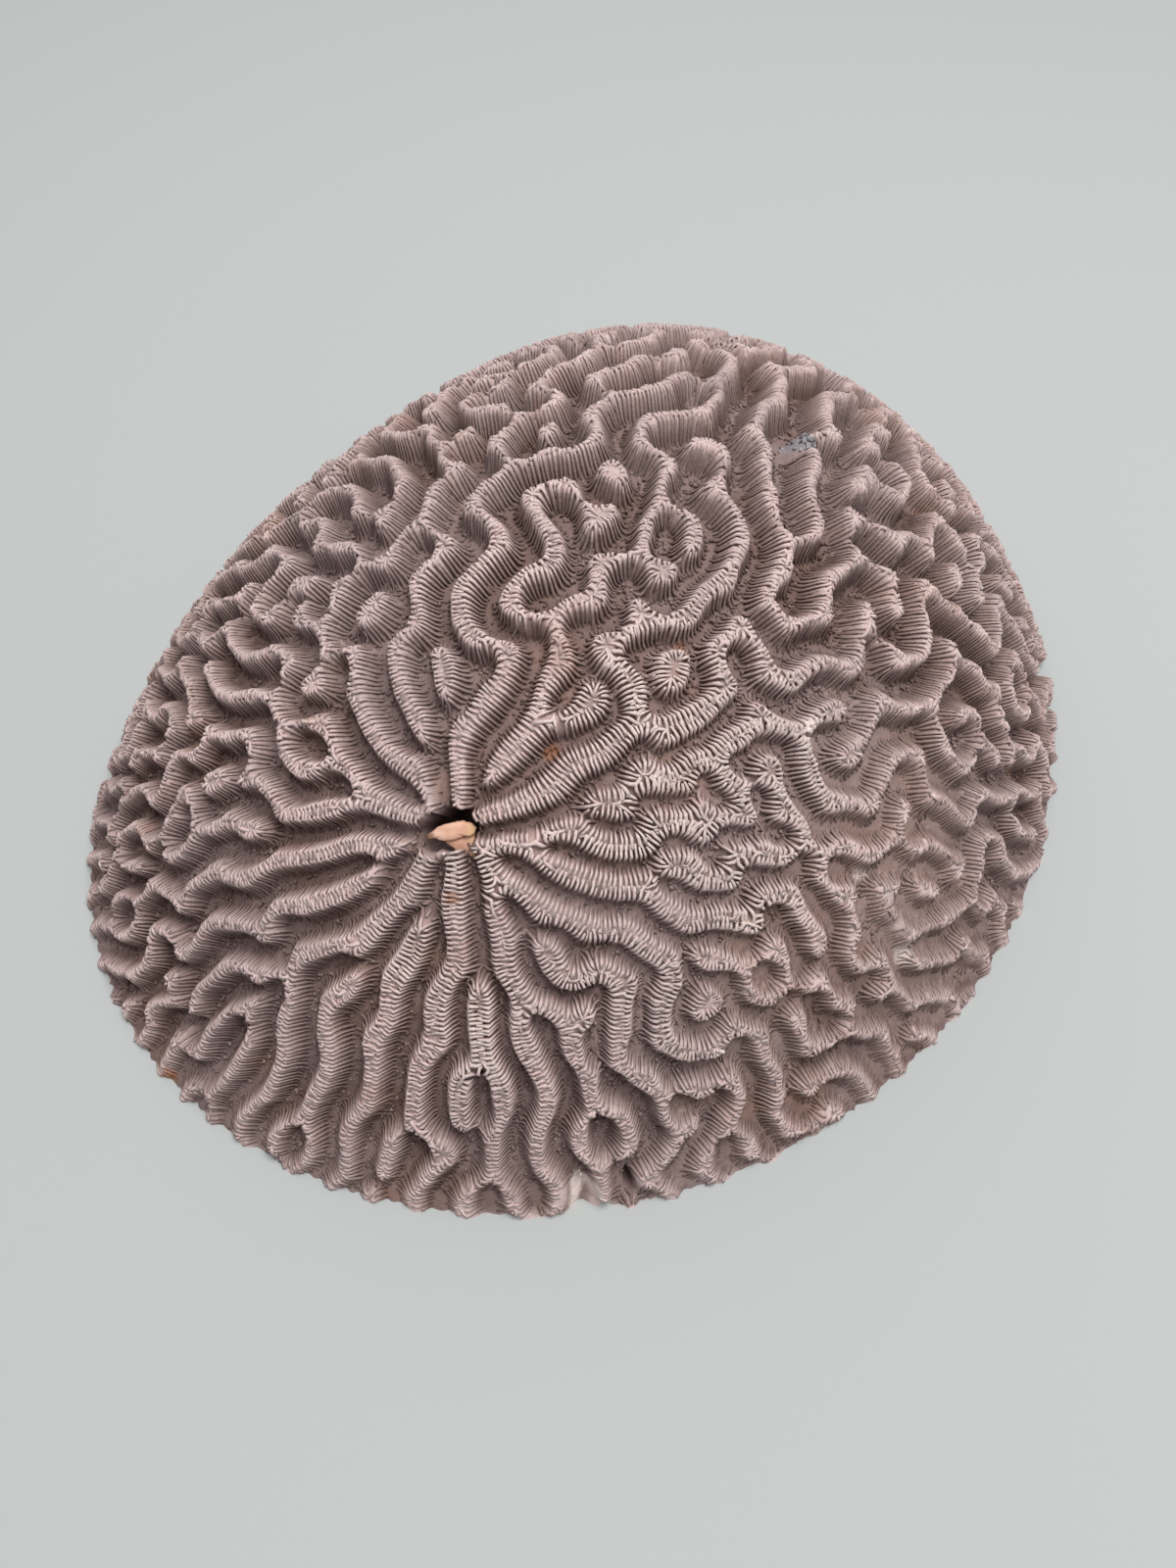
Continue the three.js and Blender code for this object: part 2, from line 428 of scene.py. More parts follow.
def septum_depth(level, slim):
    """Share of the ridge's height by which the septa's edges lie below the shoulders: a nearly flat top,
    steep sides and a flat valley. Where slim is high the top is narrow and the sides are long."""
    side = 0.86 * smoothstep(0.42 + 0.42 * slim, -0.38 - np.where(slim > 0, 0.22, -0.45) * slim, level)
    valley = 0.14 * smoothstep(-0.3 - 0.3 * np.abs(slim), -1.0, level)
    return side + valley + 0.05 * (1 - slim) * smoothstep(0.4, 1.0, level)


def wall_depth(height, level, x, y):
    """How far the bare wall and the valley's floor lie below the smooth skin. Where the septa stand apart
    the wall is thin and the gaps between them are deep; where dust has filled the gaps they are shallow."""
    comb, slim = combed(x, y), narrow(x, y)
    high = 0.72 + 0.25 * np.maximum(comb, slim)
    shoulder = smoothstep(high, high - 0.48, level) * smoothstep(-0.62 - 0.2 * np.abs(slim), -0.15, level)
    gap = 0.13 + 0.12 * comb + (0.48 + 1.0 * comb) * shoulder
    columella = 0.5 * smoothstep(-0.86, -1.0, level)
    return height * septum_depth(level, slim) + gap * (1 - 0.6 * filled(x, y)) - columella


# ---- the pit and other damage


def pit_plane(mx, my):
    """Millimetres across and up the slope from the pit's middle, near the pit."""
    scale = np.linalg.norm(skin(PIT[0] + 0.5, PIT[1]) - skin(PIT[0] - 0.5, PIT[1]))
    return (mx - PIT[0]) * scale, my - PIT[1]


def pit_mouth(mx, my):
    """1 inside the pit's mouth, 0 outside it."""
    u, v = pit_plane(mx, my)
    u, v = u + 1.5, v - 0.5
    lop = 1 + 0.12 * np.cos(2 * np.arctan2(v, u) - 0.6) + 0.06 * np.cos(5 * np.arctan2(v, u))
    return smoothstep(1.08, 0.92, np.hypot(u / 4.7, v / 3.8) / lop)


def bore_holes(mx, my):
    """1 inside the slanted slot near the rim and the small round bore, 0 outside them."""
    u, v = mx - SLOT[0], my - SLOT[1]
    slot = np.hypot((u + 0.35 * v) / 1.15, v / 2.3)
    bore = np.hypot(mx - BORE[0], my - BORE[1]) / 1.25
    return smoothstep(1.25, 0.8, np.minimum(slot, bore))


def chip(mx, my):
    """Above 0 inside the ragged outline of the chip broken out of the front rim."""
    u, v = np.abs(mx - BREAK[0] + 0.3 * (my - BREAK[1])), my - BREAK[1]
    ragged = 0.6 * value_noise(mx, my, 2.1, 21) + 0.4 * value_noise(mx, my, 0.9, 25)
    return 3.6 - 0.85 * u - 0.5 * np.maximum(v, -3) + ragged


def break_depth(mx, my):
    """How deep the chip is: steep edges round a nearly even floor."""
    return CHIP_DEPTH * smoothstep(0, 1.4, chip(mx, my)) * (1 + 0.25 * value_noise(mx, my, 1.7, 26))


def crystals(mx, my):
    """1 where a ridge's top is worn off and shows grey crystals."""
    u, v = mx - CRYSTALS[0], my - CRYSTALS[1]
    ragged = 0.25 * value_noise(mx, my, 1.6, 22)
    return smoothstep(1.15, 0.75, np.hypot((u + 0.4 * v) / 3.6, v / 2.3) + ragged)


def spots(mx, my, places, seed):
    """1 in the middle of each ragged spot."""
    ragged = 1 + 0.35 * value_noise(mx, my, 1.4, seed)
    share = [smoothstep(1.3, 0.5, np.hypot(mx - x, my - y) / (size * ragged)) for x, y, size in places]
    return np.maximum.reduce(share)


def damage(mx, my):
    """How much lower the surface lies where the coral is broken, worn or bored."""
    depth = PIT_DEPTH * pit_mouth(mx, my) + break_depth(mx, my) + BORE_DEPTH * bore_holes(mx, my)
    return depth + CRYSTAL_DEPTH * crystals(mx, my)


def marks(mx, my):
    """The shares of the marks that colour the coral, and of the painted shade in the pit and the bores."""
    # Painted shade fills the pit and the bores.
    painted_hole_shade = np.maximum(pit_mouth(mx, my), bore_holes(mx, my))
    fresh = 1.4 * smoothstep(-0.6, 0.3, chip(mx, my)) * smoothstep(2.4, 1.2, chip(mx, my))
    return {
        "painted_hole_shade": painted_hole_shade,
        "pale": np.maximum(fresh, spots(mx, my, WHITE_SPOTS, 23)) * (1 - painted_hole_shade),
        "rusty": spots(mx, my, RUSTY_SPOTS, 24),
        "crystal": crystals(mx, my),
        "worn": worn(mx, my),
    }


# ---- the body of the coral


def disc_from_square(a, b):
    """A square grid pulled onto a disc with nearly even cells: the share of the radius, and the azimuth."""
    wide = np.abs(a) > np.abs(b)
    safe_a, safe_b = np.where(a == 0, 1e-9, a), np.where(b == 0, 1e-9, b)
    sideways = np.where(a < 0, math.pi, 0) + math.pi / 4 * b / safe_a
    upright = np.where(b < 0, 1.5, 0.5) * math.pi - math.pi / 4 * a / safe_b
    return np.where(wide, np.abs(a), np.abs(b)), np.where(wide, sideways, upright)


def body_depth(ridges, mx, my):
    """How far the body's surface lies below the smooth skin."""
    level = ridges.at("level", mx, my)
    depth = wall_depth(ridges.at("height", mx, my), level, mx, my)
    spongy = 0.28 * value_noise(mx, my, 1.6, 11) + 0.22 * value_noise(mx, my, 3.1, 12)
    depth = depth + spongy * smoothstep(-0.3, -0.8, level)
    # A worn-off ridge is filled level with its septa.
    depth = depth - 0.3 * crystals(mx, my) * smoothstep(0.3, 0.8, level)
    return depth + damage(mx, my)


def body_point(ridges, mx, my):
    return skin(mx, my) - skin_normal(mx, my) * body_depth(ridges, mx, my)[..., None]


def rim_share(ridges, azimuth):
    """The share of the map's radius at which the body's surface reaches the cut face."""
    shares = np.linspace(0.90, 1.05, 61)[:, None]
    mx, my = shares * REACH * np.cos(azimuth), shares * REACH * np.sin(azimuth)
    z = body_point(ridges, mx, my)[..., 2]
    below = z < 0
    k = np.clip(np.argmax(below, axis=0), 1, len(shares) - 1)
    column = np.arange(len(azimuth))
    z0, z1 = z[k - 1, column], z[k, column]
    f = np.clip(z0 / np.maximum(z0 - z1, 1e-9), 0, 1)
    return shares[k - 1, 0] + f * (shares[1, 0] - shares[0, 0])


def ring_of(n):
    """The grid's outer vertices, in order round the rim."""
    row = n + 1
    right = [j * row + n for j in range(n)]
    left = [j * row for j in range(n, 0, -1)]
    return np.array([*range(n), *right, *range(n * row + n, n * row, -1), *left])


def body_values(ridges, mx, my):
    """What the material reads over the dome, with painted shade deep down and in the combed gaps."""
    level = ridges.at("level", mx, my)
    gaps = combed(mx, my) * smoothstep(-0.8, -0.3, level)
    # Painted shade: darker with depth below the shoulders and where the gaps between combed septa are deep,
    # partly the valleys' own browner colour.
    relief = 0.9 - 0.42 * gaps - 0.95 * septum_depth(level, narrow(mx, my))
    relief = relief + 0.25 * filled(mx, my) + 0.3 * near_pit(mx, my) * smoothstep(-0.4, -0.9, level)
    return {"relief": relief, "tone": np.full(len(mx), 0.5), "cut": np.zeros(len(mx)), **marks(mx, my)}


def cut_face(rim, ring, first):
    """The flat cut face: rings of the rim's own points, drawn in to the middle. Returns its points, their
    places on the texture map, its quads and the triangles round the middle."""
    points, maps, quads, last = [], [], [], ring
    for scale in BASE_RINGS:
        here = np.arange(first, first + len(ring))
        points.append(rim * scale)
        maps.append(rim[:, :2] * scale / (4 * REACH) * (FACE_MAP_WIDTH, 1) + FACE_MAP_MIDDLE)
        quads.append(np.stack([last, here, np.roll(here, -1), np.roll(last, -1)], -1))
        last = here
        first += len(ring)
    points.append(np.zeros((1, 3)))
    maps.append(np.array([FACE_MAP_MIDDLE]))
    fan = np.stack([last, np.full(len(last), first), np.roll(last, -1)], -1)
    return np.concatenate(points), np.concatenate(maps), quads, fan


def body_mesh(ridges):
    """The dome on a square grid pulled round, closed by the cut face."""
    n = BODY_CELLS
    a, b = np.meshgrid(np.linspace(-1, 1, n + 1), np.linspace(-1, 1, n + 1))
    share, azimuth = disc_from_square(a.ravel(), b.ravel())
    edge = rim_share(ridges, azimuth)
    share = share * (1 + (edge - 1) * smoothstep(0.86, 1.0, share))
    mx, my = share * REACH * np.cos(azimuth), share * REACH * np.sin(azimuth)
    points = body_point(ridges, mx, my)
    ring = ring_of(n)
    points[ring, 2] = 0
    points[:, 2] = np.maximum(points[:, 2], 0)
    corner = np.arange(n * (n + 1)).reshape(n, n + 1)[:, :-1].ravel()
    quads = [np.stack([corner, corner + 1, corner + n + 2, corner + n + 1], -1)]
    maps = np.stack([mx, my], -1) / (2.1 * REACH) + 0.5
    maps[:, 0] *= DOME_MAP_WIDTH
    flat, flat_maps, flat_quads, fan = cut_face(points[ring], ring, len(points))
    values = {}
    for key, dome in body_values(ridges, mx, my).items():
        values[key] = np.concatenate([dome, np.full(len(flat), FACE_VALUES.get(key, 0))])
    faces = [np.concatenate([*quads, *flat_quads]), fan]
    points, maps = np.concatenate([points, flat]), np.concatenate([maps, flat_maps])
    return make_mesh("coral_body", points, faces, values, maps, ring)


# ---- meshes from arrays


def make_mesh(name, points, faces, values, maps, sharp_ring=()):
    """A mesh object from points in millimetres and stacks of faces with 3 or 4 corners.
    Edges between two points of the sharp ring are not shaded smooth."""
    mesh = bpy.data.meshes.new(name)
    corners = np.concatenate([f.ravel() for f in faces]).astype(np.int32)
    sizes = np.concatenate([np.full(len(f), f.shape[1]) for f in faces])
    starts = np.concatenate([[0], np.cumsum(sizes)[:-1]]).astype(np.int32)
    mesh.vertices.add(len(points))
    mesh.vertices.foreach_set("co", (points * MM).astype(np.float32).ravel())
    mesh.loops.add(len(corners))
    mesh.loops.foreach_set("vertex_index", corners)
    mesh.polygons.add(len(sizes))
    mesh.polygons.foreach_set("loop_start", starts)
    mesh.polygons.foreach_set("use_smooth", np.ones(len(sizes), bool))
    mesh.update(calc_edges=True)
    if len(sharp_ring):
        ends = np.zeros(len(mesh.edges) * 2, np.int32)
        mesh.edges.foreach_get("vertices", ends)
        sharp = np.isin(ends.reshape(-1, 2), sharp_ring).all(1)
        mesh.edges.foreach_set("use_edge_sharp", sharp)
    for key, numbers in values.items():
        attribute = mesh.attributes.new(key, "FLOAT", "POINT")
        attribute.data.foreach_set("value", numbers.astype(np.float32))
    layer = mesh.uv_layers.new(name="OFBake")
    layer.uv.foreach_set("vector", maps[corners].astype(np.float32).ravel())
    mesh.validate()
    thing = bpy.data.objects.new(name, mesh)
    bpy.context.scene.collection.objects.link(thing)
    return thing


# ---- septa


def half_height_lines(ridges):
    """The lines where the ridges stand at half their height, as chains of map points."""
    w = ridges.wave
    n = w.shape[0]
    up = w > 0
    cross_x = up[:, 1:] != up[:, :-1]
    cross_y = up[1:] != up[:-1]
    ids_x = np.full(cross_x.shape, -1)
    ids_y = np.full(cross_y.shape, -1)
    jx, ix = np.nonzero(cross_x)
    jy, iy = np.nonzero(cross_y)
    ids_x[jx, ix] = np.arange(len(jx))
    ids_y[jy, iy] = len(jx) + np.arange(len(jy))
    fx = w[jx, ix] / (w[jx, ix] - w[jx, ix + 1])
    fy = w[jy, iy] / (w[jy, iy] - w[jy + 1, iy])
    at = np.concatenate([np.stack([ix + fx, jx], -1), np.stack([iy, jy + fy], -1)])
    at = (at - (n - 1) / 2) * ridges.step
    below, above = ids_x[:-1], ids_x[1:]
    left, right = ids_y[:, :-1], ids_y[:, 1:]
    cells = np.stack([below, right, above, left], -1)
    count = (cells >= 0).sum(-1)
    links = [[] for _ in range(len(at))]
    for cell in cells[count >= 2].tolist():
        found = [c for c in cell if c >= 0]
        for p, q in zip(found[::2], found[1::2]):
            links[p].append(q)
            links[q].append(p)
    used = np.zeros(len(at), bool)
    chains = []
    ends_first = sorted(range(len(at)), key=lambda k: len(links[k]) != 1)
    for start in ends_first:
        if used[start] or not links[start]:
            continue
        chain, here = [start], start
        used[start] = True
        while True:
            onward = [q for q in links[here] if not used[q]]
            if not onward:
                break
            here = onward[0]
            used[here] = True
            chain.append(here)
        closed = len(chain) > 3 and chain[0] in links[chain[-1]]
        chains.append((at[chain], closed))
    return chains


def septum_seeds(ridges, rng):
    """Evenly spaced starts along every half-height line, and each one's neighbour along its line."""
    xs, ys, after = [], [], []
    total = 0
    for line, closed in half_height_lines(ridges):
        if closed:
            line = np.concatenate([line, line[:1]])
        real = skin(line[:, 0], line[:, 1])
        along = np.concatenate([[0], np.cumsum(np.linalg.norm(np.diff(real, axis=0), axis=1))])
        count = int(round(along[-1] / SEPTA_PITCH))
        if count < 3:
            continue
        at = (np.arange(count) + 0.5 + rng.uniform(-0.13, 0.13, count)) * along[-1] / count
        xs.append(np.interp(at, along, line[:, 0]))
        ys.append(np.interp(at, along, line[:, 1]))
        onward = np.arange(total + 1, total + count + 1)
        onward[-1] = total if closed else -1
        after.append(onward)
        total += count
    return np.concatenate(xs), np.concatenate(ys), np.concatenate(after)


def trace(ridges, x, y, sign, stop):
    """Paths from the starts straight up (sign 1) or down (-1) the ridge's side, and their lengths."""
    places = [np.stack([x, y], -1)]
    steps = np.zeros(len(x), int)
    going = np.ones(len(x), bool)
    last = None
    for _ in range(TRACE_STEPS):
        rise = sign * ridges.at("uphill", x, y)
        e, f, g = np.moveaxis(ridges.at("lengths", x, y), -1, 0)
        rx, ry = rise[:, 0], rise[:, 1]
        size = np.sqrt(np.maximum(e * rx * rx + 2 * f * rx * ry + g * ry * ry, 1e-18))
        heading = rise / size[:, None]
        if last is not None:
            going &= (heading * last).sum(-1) > 0.25
        level = ridges.at("level", x, y)
        going &= (level < stop) if sign > 0 else (level > stop)
        x = np.where(going, x + TRACE_STEP * heading[:, 0], x)
        y = np.where(going, y + TRACE_STEP * heading[:, 1], y)
        steps += going
        places.append(np.stack([x, y], -1))
        last = heading
    return np.stack(places, 1), steps * TRACE_STEP


def septum_paths(ridges, x, y):
    """Each septum's map points from beside the valley's middle to just over the crest."""
    up, up_length = trace(ridges, x, y, 1, PATH_TOP)
    down, down_length = trace(ridges, x, y, -1, PATH_FOOT)
    share = np.linspace(0, 1, PATH_STATIONS)
    at = share * (up_length + down_length + OVER_CREST)[:, None] - down_length[:, None]
    k = np.minimum(np.abs(at) / TRACE_STEP, up.shape[1] - 1.001)
    i = k.astype(int)
    f = (k - i)[..., None]
    row = np.arange(len(x))[:, None]
    rising = up[row, i] * (1 - f) + up[row, i + 1] * f
    falling = down[row, i] * (1 - f) + down[row, i + 1] * f
    paths = np.where((at >= 0)[..., None], rising, falling)
    # Past the crest the path goes straight on.
    top = (up_length / TRACE_STEP).astype(int)
    heading = up[np.arange(len(x)), top] - up[np.arange(len(x)), np.maximum(top - 2, 0)]
    over = np.maximum(at - up_length[:, None], 0)[..., None]
    return paths + unit(heading)[:, None] * over


def held_range(good):
    """First and last station of the run of good stations round the middle one."""
    middle = good.shape[1] // 2
    left = np.cumprod(good[:, middle::-1], axis=1).sum(1)
    right = np.cumprod(good[:, middle:], axis=1).sum(1)
    return middle - left + 1, middle + right - 1


def septa_paths(ridges, rng):
    """All septa: where neighbours crowd together every other one stops short, and where they fan out
    shorter ones stand in between. Returns map points and room to the neighbours at each station."""
    x, y, after = septum_seeds(ridges, rng)
    paths = septum_paths(ridges, x, y)
    real = skin(paths[..., 0], paths[..., 1])
    own = np.arange(len(x))
    nxt = np.where(after >= 0, after, own)
    before = own.copy()
    before[nxt] = own
    gap = np.linalg.norm(real[nxt] - real, axis=-1)
    gap = np.where((nxt == own)[:, None], SEPTA_PITCH, gap)
    room = (gap + gap[before]) / 2
    odd = own % 2 == 1
    crowded = np.minimum(gap, gap[before]) < CROWDED
    low, high = held_range(~(crowded & odd[:, None]))
    lone = odd | (np.roll(odd, 1) | np.roll(odd, -1))
    room = np.where(crowded & lone[:, None], np.maximum(room, LONE_ROOM), room)
    keep = high - low >= 5
    sets = [(paths[keep], low[keep], high[keep], room[keep])]
    for side in (slice(0, 5), slice(PATH_STATIONS - 5, PATH_STATIONS)):
        wide = gap[:, side].max(1) > WIDE
        pick = wide & (nxt != own) & (gap.max(1) < APART)
        middle = (paths[pick] + paths[nxt[pick]]) / 2
        open_enough = gap[pick] > ROOMY
        if side.start == 0:
            first = np.zeros(pick.sum(), int)
            last = np.cumprod(open_enough, axis=1).sum(1) - 1
        else:
            last = np.full(pick.sum(), PATH_STATIONS - 1)
            first = PATH_STATIONS - np.cumprod(open_enough[:, ::-1], axis=1).sum(1)
        long_enough = last - first >= 3
        sets.append((middle[long_enough], first[long_enough], last[long_enough], gap[pick][long_enough] / 2))
    paths, low, high, room = (np.concatenate([s[k] for s in sets]) for k in range(4))
    share = low[:, None] + (high - low)[:, None] * np.array(SEPTUM_STATIONS)
    i = np.minimum(share.astype(int), PATH_STATIONS - 2)
    f = share - i
    row = np.arange(len(paths))[:, None]
    placed = paths[row, i] * (1 - f)[..., None] + paths[row, i + 1] * f[..., None]
    return placed, room[row, i] * (1 - f) + room[row, i + 1] * f


def above_ground(ridges, mx, my, room):
    """The septa's stations drawn together, so that none of them lies under the cut face."""
    share = septum_depth(ridges.at("level", mx, my), narrow(mx, my))
    depth = ridges.at("height", mx, my) * share + damage(mx, my)
    z = skin(mx, my)[..., 2] - skin_normal(mx, my)[..., 2] * depth
    good = z > 0.5
    stations = np.arange(mx.shape[1])
    keep = good.sum(1) >= 3
    for row in np.flatnonzero(keep & ~good.all(1)):
        run = np.flatnonzero(good[row])
        at = np.linspace(run[0], run[-1], len(stations))
        mx[row], my[row], room[row] = (np.interp(at, stations, v[row]) for v in (mx, my, room))
    return mx[keep], my[keep], room[keep]


def broken_away(mx, my):
    """The septa that the pit, the bores, the chip and the worn-off ridge have taken."""
    lost = (pit_mouth(mx, my).max(1) > 0.9) | (bore_holes(mx, my).max(1) > 0.05)
    return lost | (break_depth(mx, my).max(1) > 0.8) | (crystals(mx, my).max(1) > 0.6)


def wedge_corners(ridges, mx, my, room, rng):
    """The three corners of every septum at each station: left and right of its edge, and its foot."""
    level, height = ridges.at("level", mx, my), ridges.at("height", mx, my)
    rubbed, slim = worn(mx, my), narrow(mx, my)
    out, base = skin_normal(mx, my), skin(mx, my)
    count, stations = mx.shape
    edge = height * septum_depth(level, slim) + damage(mx, my) + rng.uniform(-0.18, 0.22, (count, 1))
    edge = edge + rng.uniform(-0.1, 0.1, (count, stations))
    # A tooth stands up on the shoulder, and a few septa have lost their tops.
    edge = edge - 0.22 * np.exp(-(((level - 0.4 - 0.5 * slim) / 0.2) ** 2))
    chipped = rng.random((count, 1)) < 0.03 + 0.1 * rubbed
    edge = edge + chipped * rng.uniform(0.3, 1.0, (count, 1)) * smoothstep(0.0, 0.8, level)
    foot = np.maximum(wall_depth(height, level, mx, my) + damage(mx, my) + 0.5, edge + 0.35)
    top, bottom = base - out * edge[..., None], base - out * foot[..., None]
    along = unit(np.gradient(top, axis=1))
    side = unit(np.cross(along, out))
    width = np.clip(room * SEPTUM_WIDTH, THINNEST, THICKEST) * rng.uniform(0.85, 1.12, (count, 1))
    width = width * (1 + 0.12 * rubbed) * (1 - 0.14 * combed(mx, my))
    width[:, 0] *= 0.5
    half = side * (width / 2)[..., None]
    points = np.stack([top - half, top + half, bottom], 2)
    points[..., 2] = np.maximum(points[..., 2], 0.0)
    return points


def septum_values(ridges, mx, my, rng):
    """What the material reads at the three corners of every station, with painted shade low down and painted
    highlights on narrow crests.
    """
    level, slim = ridges.at("level", mx, my), narrow(mx, my)
    crest = np.exp(-(((level - 0.95) / 0.18) ** 2))
    # Darker with depth below the shoulders: partly the valleys' own browner colour, partly painted shade.
    relief = 1 - septum_depth(level, slim) + 0.22 * combed(mx, my)
    # Painted highlight on the crests of narrow ridges, and painted shade on their sides.
    relief = relief + np.maximum(slim, 0) * (0.5 * crest - 0.24)
    relief = relief + 0.25 * near_pit(mx, my) * smoothstep(-0.3, -0.8, level)
    tone = rng.uniform(0, 1, (len(mx), 1)) + 0 * mx
    values = {"relief": relief, "tone": tone, "cut": 0 * mx, **marks(mx, my)}
    values = {key: np.repeat(v[..., None], 3, axis=2) for key, v in values.items()}
    # Painted shade: each septum's foot, down between its neighbours, is darker.
    values["relief"][..., 2] -= 0.45
    return values


def septa_piece(name, points, mx, my, values):
    """Septa joined into one mesh: each has a top, two sides and two ends, and its foot is in the wall."""
    count, stations = mx.shape
    first = np.arange(count)[:, None] * stations * 3 + np.arange(stations - 1) * 3
    left, right, low = first, first + 1, first + 2
    quads = [
        np.stack([left, right, right + 3, left + 3], -1),
        np.stack([left, left + 3, low + 3, low], -1),
        np.stack([right, low, low + 3, right + 3], -1),
    ]
    start = np.arange(count) * stations * 3
    end = start + (stations - 1) * 3
    caps = [np.stack([start, start + 2, start + 1], -1), np.stack([end, end + 1, end + 2], -1)]
    faces = [np.concatenate([q.reshape(-1, 4) for q in quads]), np.concatenate(caps)]
    flat = np.stack([mx, my], -1).reshape(-1, 2)
    maps = np.repeat((flat - flat.min(0)) / np.ptp(flat, axis=0), 3, axis=0)
    values = {key: v.ravel() for key, v in values.items()}
    return make_mesh(name, points.reshape(-1, 3), faces, values, maps * 0.98 + 0.01)


def septa_meshes(ridges, rng):
    """Every septum is a thin wedge: a toothed edge on top, narrowing down into the wall."""
    placed, room = septa_paths(ridges, rng)
    mx, my, room = above_ground(ridges, placed[..., 0], placed[..., 1], room)
    held = ~broken_away(mx, my)
    mx, my, room = mx[held], my[held], room[held]
    points = wedge_corners(ridges, mx, my, room, rng)
    values = septum_values(ridges, mx, my, rng)
    pieces = []
    order = np.argsort(np.arctan2(my.mean(1), mx.mean(1)))
    for number, chosen in enumerate(np.array_split(order, SEPTA_PIECES)):
        some = {key: v[chosen] for key, v in values.items()}
        pieces.append(septa_piece(f"septa_{number + 1}", points[chosen], mx[chosen], my[chosen], some))
    return pieces


# ---- the valleys' spongy middles


def crumbs(ridges, rng):
    """The spongy middle of every valley: small ragged lumps of skeleton, eight faces each."""
    x, y = rng.uniform(-REACH, REACH, (2, CRUMB_TRIES))
    level = ridges.at("level", x, y)
    keep = (np.hypot(x, y) < 0.985 * REACH) & (level < -0.52 - 0.4 * rng.random(len(x)))
    keep = (keep & (damage(x, y) < 0.3) & (filled(x, y) < 0.45)) | (crystals(x, y) > 0.4)
    x, y, level = x[keep], y[keep], level[keep]
    depth = wall_depth(ridges.at("height", x, y), level, x, y) - rng.uniform(-0.1, 0.4, len(x))
    depth = depth + 0.3 * crystals(x, y)
    middle = skin(x, y) - skin_normal(x, y) * depth[:, None]
    turn = np.linalg.qr(rng.normal(size=(len(x), 3, 3)))[0]
    turn[:, 2] *= np.linalg.det(turn)[:, None]
    half = rng.uniform(SMALL_CRUMB, LARGE_CRUMB, (len(x), 3, 1))
    ends = np.stack([turn * half, -turn * half], 2).reshape(-1, 6, 3)
    points = middle[:, None] + ends * rng.uniform(0.7, 1.2, (len(x), 6, 1))
    keep = points[..., 2].min(1) > 0.1
    points, x, y = points[keep], x[keep], y[keep]
    sides = [(a, b, c) for a in (0, 1) for b in (2, 3) for c in (4, 5)]
    sides = np.array([(a, b, c) if (a + b + c) % 2 == 0 else (a, c, b) for a, b, c in sides])
    faces = (np.arange(len(points))[:, None, None] * 6 + sides).reshape(-1, 3)
    maps = np.repeat(np.stack([x, y], -1) / (2.02 * REACH) + 0.5, 6, axis=0)
    # Low relief gives the crumbs the valleys' dark colours: partly their own, partly painted shade.
    values = {"relief": rng.uniform(-0.3, 0.4, len(x)), "tone": rng.uniform(0, 1, len(x)), "cut": 0 * x}
    values = {key: np.repeat(v, 6) for key, v in {**values, **marks(x, y)}.items()}
    return make_mesh("valley_crumbs", points.reshape(-1, 3), [faces], values, maps)


# ---- the flake of shell


def inside(corners, u, v):
    """Millimetres from the points to the outline of the corners, positive inside it."""
    corners = np.array(corners)
    nearest, crossings = np.full(u.shape, 1e9), np.zeros(u.shape, int)
    for (ax, ay), (bx, by) in zip(corners, np.roll(corners, -1, axis=0)):
        t = np.clip(((u - ax) * (bx - ax) + (v - ay) * (by - ay)) / ((bx - ax) ** 2 + (by - ay) ** 2), 0, 1)
        nearest = np.minimum(nearest, np.hypot(u - ax - t * (bx - ax), v - ay - t * (by - ay)))
        crossings += ((ay > v) != (by > v)) & (u < ax + (v - ay) / (by - ay + 1e-12) * (bx - ax))
    return np.where(crossings % 2 == 1, nearest, -nearest)


def leaf(corners, crown, tilt, low):
    """One thin leaf of the flake, as rings: from the middle of its underside out to the ragged edge, and in
    again over its crowned top."""
    count = FLAKE_EDGE_POINTS
    outline = np.array(corners)
    closed = np.concatenate([outline, outline[:1]])
    along = np.concatenate([[0], np.cumsum(np.linalg.norm(np.diff(closed, axis=0), axis=1))])
    at = np.arange(count) * along[-1] / count
    edge = np.stack([np.interp(at, along, closed[:, k]) for k in (0, 1)], -1)
    middle = edge.mean(0)
    nicks = [value_noise(edge[:, k] * 3, edge[:, 1 - k] * 3, 1.0, 31 + k) for k in (0, 1)]
    edge = edge + 0.09 * np.stack(nicks, -1)
    top = []
    for scale in np.linspace(1, 0.08, FLAKE_RINGS):
        flat = middle + (edge - middle) * scale
        ripple = 0.16 * value_noise(flat[:, 0], flat[:, 1], 1.7, 33)
        rise = crown * (1 - scale**3) + ripple + tilt * flat[:, 0]
        top.append(np.column_stack([flat, low + 0.35 + rise]))
    under = []
    for k, ring in enumerate([top[0], *top[3::4]]):
        under.append(np.column_stack([ring[:, :2], ring[:, 2] - 0.45 - 0.25 * k / 3]))
    rows = under[::-1] + top
    points = np.concatenate(rows)
    first = np.arange(count)
    after = np.roll(first, -1)
    band = np.stack([first, after, after + count, first + count], -1)
    quads = [band + k * count for k in range(len(rows) - 1)]
    caps = [np.arange(count)[None, ::-1], np.arange(count)[None] + (len(rows) - 1) * count]
    return points, np.concatenate(quads), np.concatenate(caps)


